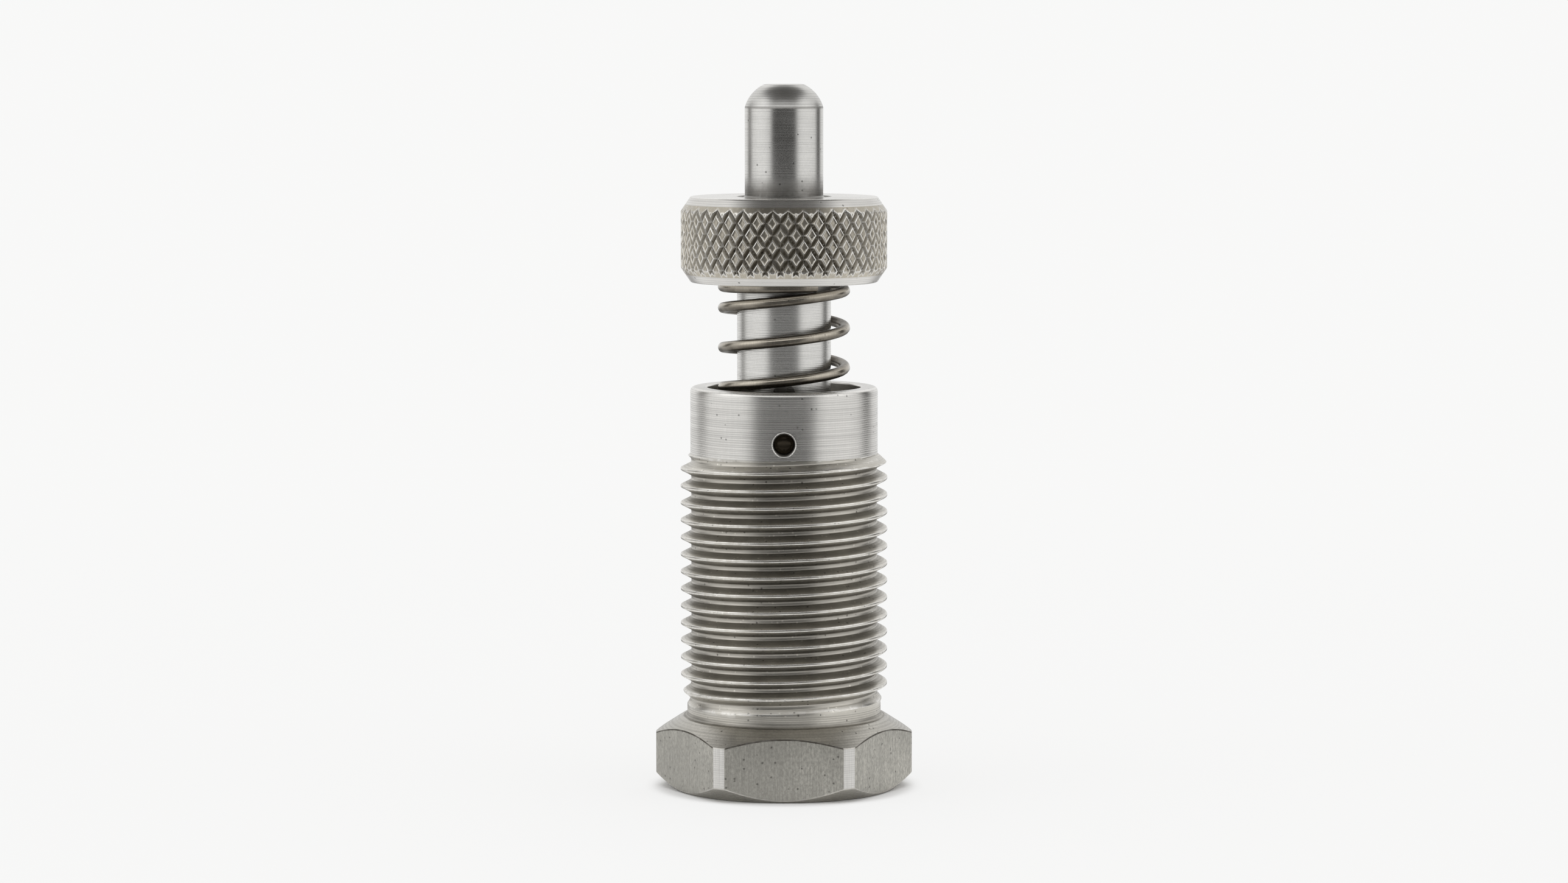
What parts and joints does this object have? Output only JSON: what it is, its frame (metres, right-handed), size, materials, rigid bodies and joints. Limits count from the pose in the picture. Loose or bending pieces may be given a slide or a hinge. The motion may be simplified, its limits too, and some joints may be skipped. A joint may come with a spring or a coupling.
{
  "type": "indexing plunger",
  "caption": "Sprung indexing plunger: a chamfered nose pin with a knurled knob, guided in a threaded body with a hexagon foot.",
  "frame": {"origin": "centre of the hexagon foot's flat end face, which the part stands on", "axes": "+Z along the turning axis towards the plunger's nose, -Y through the cross hole and square to one flat of the hexagon"},
  "size_m": [0.0224, 0.02, 0.0612],
  "materials": {
    "body_steel": "turned, satin",
    "pin_steel": "fine ground, satin",
    "knob_steel": "knurled, chamfers turned",
    "spring_steel": "drawn wire, slightly tempered brown",
    "dowel_steel": "ground"
  },
  "bodies": {
    "body": {"threaded_body": "body_steel", "retaining_pin": "dowel_steel", "return_spring": "spring_steel"},
    "plunger": {"plunger_pin": "pin_steel", "knurled_knob": "knob_steel"}
  },
  "joints": [
    {"name": "plunger_slide", "type": "slide", "parent": "body", "child": "plunger", "axis": [0, 0, 1], "range_m": [-0.004, 0], "stiffness_N_per_m": 2000, "springref_m": 0.002, "deforming": ["return_spring"]}
  ]
}
